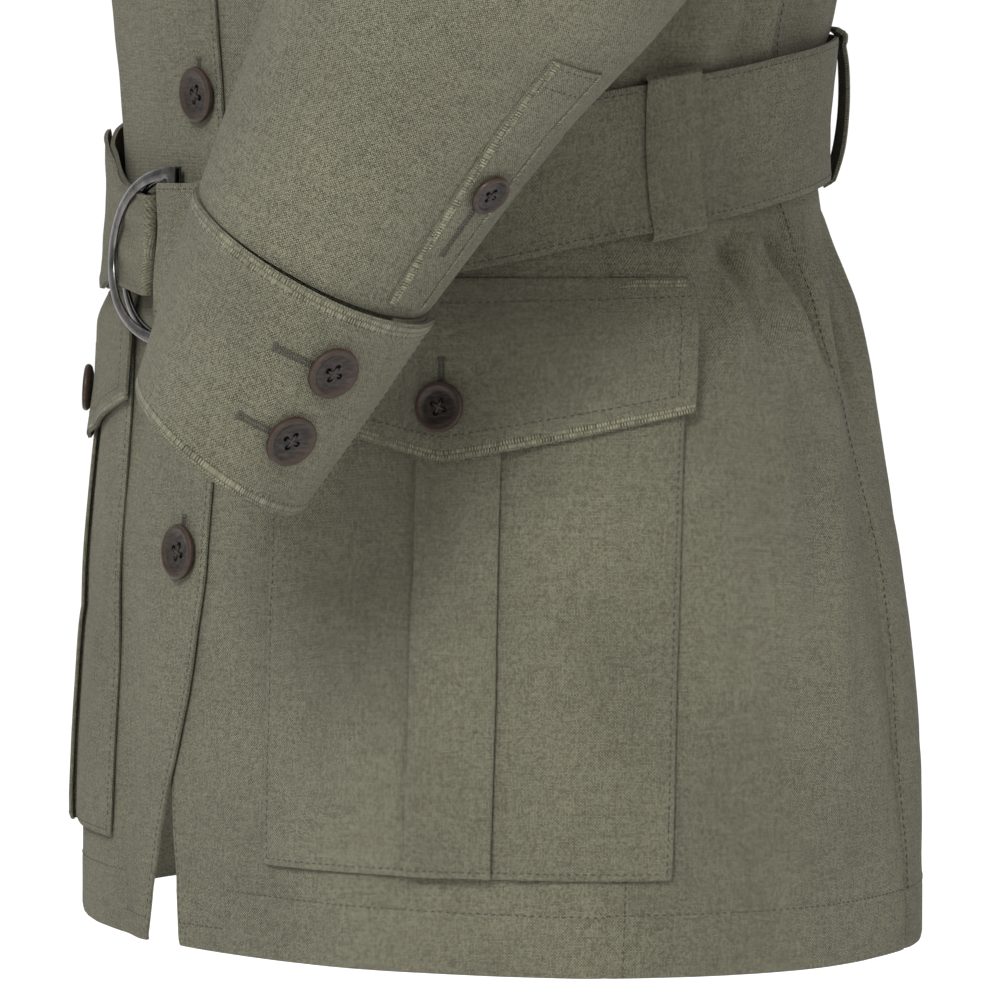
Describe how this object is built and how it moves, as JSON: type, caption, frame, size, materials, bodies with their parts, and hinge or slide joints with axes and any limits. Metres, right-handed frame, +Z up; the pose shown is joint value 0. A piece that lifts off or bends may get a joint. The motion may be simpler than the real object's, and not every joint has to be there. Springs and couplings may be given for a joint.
{
  "type": "safari jacket",
  "caption": "Belted linen safari jacket, filled out as worn, with pleated flap pockets, a turned-down collar, buttoned cuffs and a belt fastened through D rings.",
  "frame": {"origin": "the nape, at the middle of the back neck edge, where the jacket is held", "axes": "+Z up, -Y out of the front, +X to the wearer's left"},
  "size_m": [0.6188, 0.383, 0.7441],
  "materials": {
    "linen": "matt plain weave with slubs",
    "horn": "dark brown, satin",
    "nickel": "dark polished nickel"
  },
  "bodies": {
    "root": {"left_front": "linen", "right_front": "linen", "left_side": "linen", "right_side": "linen", "back": "linen", "collar_stand": "linen", "collar": "linen", "belt": "linen", "left_loop": "linen", "right_loop": "linen", "left_back_loop": "linen", "right_back_loop": "linen", "left_sleeve": "linen", "left_cuff": "linen", "left_placket": "linen", "left_pocket": "linen", "left_flap": "linen", "right_sleeve": "linen", "right_cuff": "linen", "right_placket": "linen", "right_pocket": "linen", "right_flap": "linen", "front_button_1": "horn", "front_button_2": "horn", "front_button_3": "horn", "front_button_4": "horn", "front_button_5": "horn", "left_cuff_button_1": "horn", "left_cuff_button_2": "horn", "left_placket_button": "horn", "left_pocket_button": "horn", "right_cuff_button_1": "horn", "right_cuff_button_2": "horn", "right_placket_button": "horn", "right_pocket_button": "horn", "front_ring": "nickel", "rear_ring": "nickel"}
  },
  "joints": []
}
